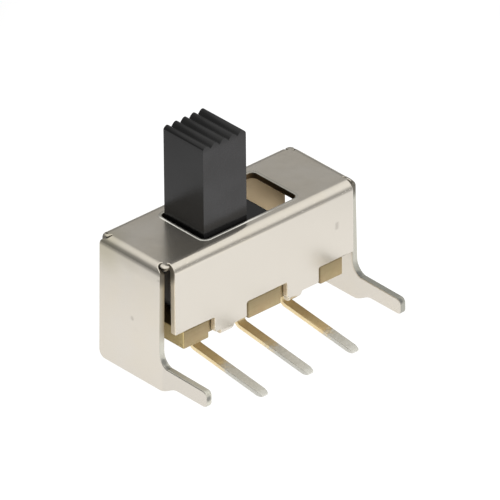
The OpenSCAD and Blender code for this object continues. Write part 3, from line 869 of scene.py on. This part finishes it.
# ------------------------------------------------------------------ slider
def make_slider():
    kx, ky = 1.19, 1.22
    low = PAD_TOP + 0.12
    top = ROOF - 0.05
    c = SL_X
    # five round ridges with sharp grooves between them
    first, pitch, deep, step = 0.18, 0.492, 0.2, 0.492 / 12

    def ridge(x):
        return KNOB_TOP - deep * (1 - abs(math.cos(math.pi * (x - first) / pitch)))

    xs = [0.0, 0.02] + [first + k * step for k in range(-3, 53)] + [2 * kx - 0.02, 2 * kx]
    line = [(c - kx + x, ridge(x)) for x in xs]
    line[0], line[-1] = (line[0][0], line[0][1] - 0.02), (line[-1][0], line[-1][1] - 0.02)
    knob = prism_y(line + [(c + kx, top - 0.6), (c - kx, top - 0.6)], -ky, ky)
    car = block(CAR_X0, CAR_X1, -CAR_Y, CAR_Y, low, top, 0.05, 2)
    tools = [("UNION", car)]
    for s in (-1, 1):
        y0, y1 = (CAR_Y - 0.45, CAR_Y) if s > 0 else (-CAR_Y, -CAR_Y + 0.45)
        tools.append(("UNION", block(CAR_X0 + 0.001, CAR_X1 - 0.001, y0 + 0.001, y1 - 0.001, RAIL_Z, low + 0.2)))
    cy = (clo.y + chi.y) / 2 - HALF
    half = (chi.y - clo.y) / 2 + 0.05
    cx = (chi.x - clo.x) / 2 + 0.08
    tools.append(("DIFFERENCE", block(c - cx, c + cx, cy - half, cy + half, low - 1, chi.z - FOOT + 0.1)))
    bore = bmesh.new()
    bmesh.ops.create_cone(bore, cap_ends=True, segments=40, radius1=0.6, radius2=0.6, depth=4.45 - low + 0.4,
                          matrix=Matrix.Translation((c, cy, (4.45 + low - 0.4) / 2)))
    tools.append(("DIFFERENCE", bore))
    bm = boolean(knob, tools)
    soften(bm, 0.045, 2, 34)
    ob = add(bm, "slider_moulding")
    ob.data.materials.append(BLACK)
    finish_mesh(ob, 40)
    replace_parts(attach(ob, "slide_group"), "slider")
    return ob


slider = make_slider()


# ------------------------------------------------------- contact and spring
def make_contact():
    span, rise, t = chi.x - clo.x, 0.6, 0.14
    cy, hw = (clo.y + chi.y) / 2 - HALF, (chi.y - clo.y) / 2
    z0 = PAD_TOP + 0.03 + t / 2
    rings, n = [], 72
    span = 4.2
    for i in range(n + 1):
        x = span * (i / n - 0.5)
        a = 2 * math.pi * x / PITCH
        z, m = rise * (1 + math.cos(a)) / 2, -rise * math.sin(a) * math.pi / PITCH
        q = math.sqrt(1 + m * m)
        e = min(i, n - i)
        k = (0.05, 0.02, 0.0)[e] if e < 3 else 0.0
        ring = [(SL_X + x - v * m / q, cy + u, z0 + z + v / q) for u, v in strip_ring(hw - k, t / 2 - k * 0.6, 0.03, 3, 3)]
        rings.append(ring)
    ob = add(sweep(rings), "contact_strip")
    ob.data.materials.append(BRONZE)
    finish_mesh(ob)
    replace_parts(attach(ob, "slide_group"), "moving_contact")


def make_spring():
    z0, z1 = splo.z - FOOT + 0.08, sphi.z - FOOT - 0.08
    cy, turns, rc, rw = (splo.y + sphi.y) / 2 - HALF, 3.25, 0.42, 0.08
    cx = (splo.x + sphi.x) / 2
    rings, n = [], 170
    for i in range(n + 1):
        s = i / n
        rise = 0.25 * s if s < 0.15 else 1 - 0.25 * (1 - s) if s > 0.85 else 0.0375 + (s - 0.15) * 0.925 / 0.7
        a = 2 * math.pi * turns * s
        c = Vector((SL_X + rc * math.cos(a), cy + rc * math.sin(a), z0 + (z1 - z0) * rise))
        e = min(i, n - i)
        r = rw * (0.6, 0.85, 0.96)[e] if e < 3 else rw
        rings.append([c + r * Vector((math.cos(b) * math.cos(a), math.cos(b) * math.sin(a), math.sin(b)))
                      for b in (2 * math.pi * k / 14 for k in range(14))])
    ob = add(sweep(rings), "spring_coil")
    ob.data.materials.append(WIRE)
    finish_mesh(ob)
    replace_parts(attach(ob, "slide_group"), "contact_spring")


make_contact()
make_spring()

# ------------------------------------------------------- floor, light, view
ground = min(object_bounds()[0].z, CAD_BOX[0][2])
scene = bpy.context.scene


def floor_material():
    m, nt, bs, co = material("table_white")
    k = N(nt, co)
    n = k.noise(0.02, 3, 0.5)
    nt.links.new(k.mix(n, (0.08, 0.08, 0.08), (0.09, 0.09, 0.09)), bs.inputs["Base Color"])
    bs.inputs["Roughness"].default_value = 0.9
    bs.inputs["Specular IOR Level"].default_value = 0.0
    bs.inputs["Emission Color"].default_value = (1, 1, 1, 1)
    # a lit sheet that falls off towards the room, sooner to the sides than in depth
    x, y = k.xyz()[:2]
    ca, sa = math.cos(math.radians(42)), math.sin(math.radians(42))
    across = k.math("MULTIPLY", k.math("SUBTRACT", k.math("MULTIPLY", x, ca), k.math("MULTIPLY", y, sa)), 2.0)
    along = k.math("MULTIPLY", k.math("ADD", k.math("MULTIPLY", x, sa), k.math("MULTIPLY", y, ca)), 0.6)
    far = k.math("SQRT", k.math("ADD", k.math("MULTIPLY", across, across), k.math("MULTIPLY", along, along)))
    nt.links.new(k.math("MULTIPLY_ADD", k.range(far, 17.0, 60.0, 1.0, 0.0, True), 0.63, 0.36), bs.inputs["Emission Strength"])
    return m


bm = bmesh.new()
bmesh.ops.create_grid(bm, x_segments=1, y_segments=1, size=1.5)
me = mesh_of(bm, "table")
table = bpy.data.objects.new("table", me)
scene.collection.objects.link(table)
table.location.z = ground
me.materials.append(floor_material())

world = bpy.data.worlds.new("studio")
scene.world = world
world.use_nodes = True
wn = world.node_tree
bg = wn.nodes["Background"]
tc = wn.nodes.new("ShaderNodeTexCoord")
w = N(wn, tc.outputs["Generated"])
wx, wy, wz = w.xyz()[:3]
# a wide lit ceiling over a darker room; the light reaches lower on the front side
lift = w.math("MULTIPLY", w.math("MAXIMUM", w.math("MULTIPLY", wy, -1.0), 0.0), 0.34)
lift = w.math("MULTIPLY", lift, w.math("GREATER_THAN", wz, 0.0))
stops = [(0.0, 0.44), (0.002, 0.20), (0.20, 0.22), (0.45, 0.32), (0.54, 0.36), (0.66, 0.79), (0.76, 1.00), (1.0, 1.10)]
wn.links.new(w.ramp(w.math("ADD", wz, lift), [(p, (v, v, v * 0.985)) for p, v in stops]), bg.inputs[0])
bg.inputs["Strength"].default_value = 1.0


def softbox(name, where, size, power, target=(0, 0.002, 0.003)):
    li = bpy.data.lights.new(name, "AREA")
    li.shape, li.size, li.energy = "SQUARE", size, power
    ob = bpy.data.objects.new(name, li)
    scene.collection.objects.link(ob)
    ob.location = where
    ob.rotation_euler = (Vector(target) - Vector(where)).to_track_quat("-Z", "Y").to_euler()
    return ob


softbox("key_softbox", (0.07, -0.30, 0.12), 0.22, 2.0).visible_glossy = False

AZ, EL, ROLL, PX_MM = math.radians(41.934), math.radians(30.9325), math.radians(0.5057), 24.027
right0 = Vector((math.cos(AZ), -math.sin(AZ), 0))
up0 = Vector((math.sin(EL) * math.sin(AZ), math.sin(EL) * math.cos(AZ), math.cos(EL)))
back = Vector((-math.sin(AZ) * math.cos(EL), -math.cos(AZ) * math.cos(EL), math.sin(EL)))
dist = 0.5
u, v = (250 - 229.177) / PX_MM, (325.058 - 250) / PX_MM
c, s = math.cos(ROLL), math.sin(ROLL)
aim = to_row((0, 0, 0)) + MM * ((c * u + s * v) * right0 + (-s * u + c * v) * up0)
cam_data = bpy.data.cameras.new("camera")
cam = bpy.data.objects.new("camera", cam_data)
scene.collection.objects.link(cam)
right, up = c * right0 - s * up0, s * right0 + c * up0
m = Matrix((right, up, back)).transposed().to_4x4()
m.translation = aim + back * dist
cam.matrix_world = m
cam_data.sensor_width = 36
cam_data.lens = 36 * dist / (500 / PX_MM * MM)
cam_data.clip_start, cam_data.clip_end = 0.01, 20
scene.camera = cam

scene.view_settings.view_transform = "Standard"
scene.view_settings.look = "None"
scene.cycles.use_denoising = True
